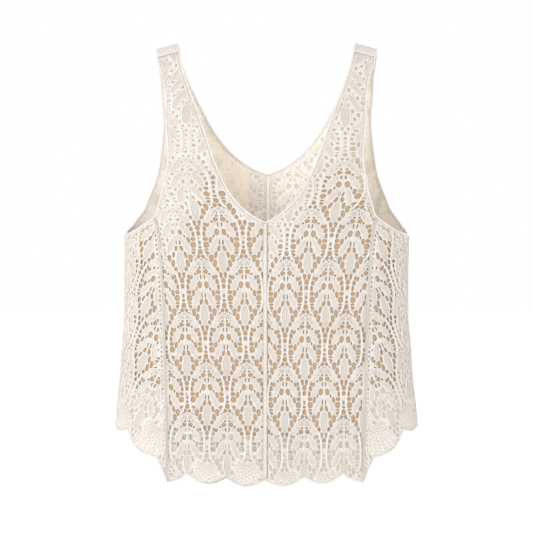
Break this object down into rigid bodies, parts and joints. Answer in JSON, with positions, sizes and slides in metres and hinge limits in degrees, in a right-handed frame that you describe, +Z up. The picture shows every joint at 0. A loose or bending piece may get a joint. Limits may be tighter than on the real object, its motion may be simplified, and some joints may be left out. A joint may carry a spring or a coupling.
{
  "type": "crochet top",
  "caption": "Sleeveless V-neck top of openwork crochet lace with a plain slip lining, hollow and filled out as worn.",
  "frame": {"origin": "midway between the two shoulder folds, at their height, where the wearer's shoulders hold the top up", "axes": "+Z up, the front faces -Y, +X towards the wearer's left, on a viewer's right"},
  "size_m": [0.3572, 0.197, 0.5175],
  "materials": {
    "lace": "natural ecru cotton crochet, matte",
    "cord": "corded cotton edging and seam bands, matte",
    "lining": "plain tan knit lining, matte"
  },
  "bodies": {
    "root": {"armhole_edging_left": "cord", "armhole_edging_right": "cord", "back_centre_band": "cord", "back_panel_left": "lace", "back_panel_right": "lace", "front_centre_band": "cord", "front_panel_left": "lace", "front_panel_right": "lace", "hem_edging": "cord", "lining_back": "lining", "lining_front": "lining", "neck_edging": "cord", "shoulder_band_left": "lace", "shoulder_band_right": "lace", "side_back_panel_left": "lace", "side_back_panel_right": "lace", "side_back_seam_left": "cord", "side_back_seam_right": "cord", "side_front_panel_left": "lace", "side_front_panel_right": "lace", "side_front_seam_left": "cord", "side_front_seam_right": "cord", "side_seam_left": "cord", "side_seam_right": "cord"}
  },
  "joints": []
}
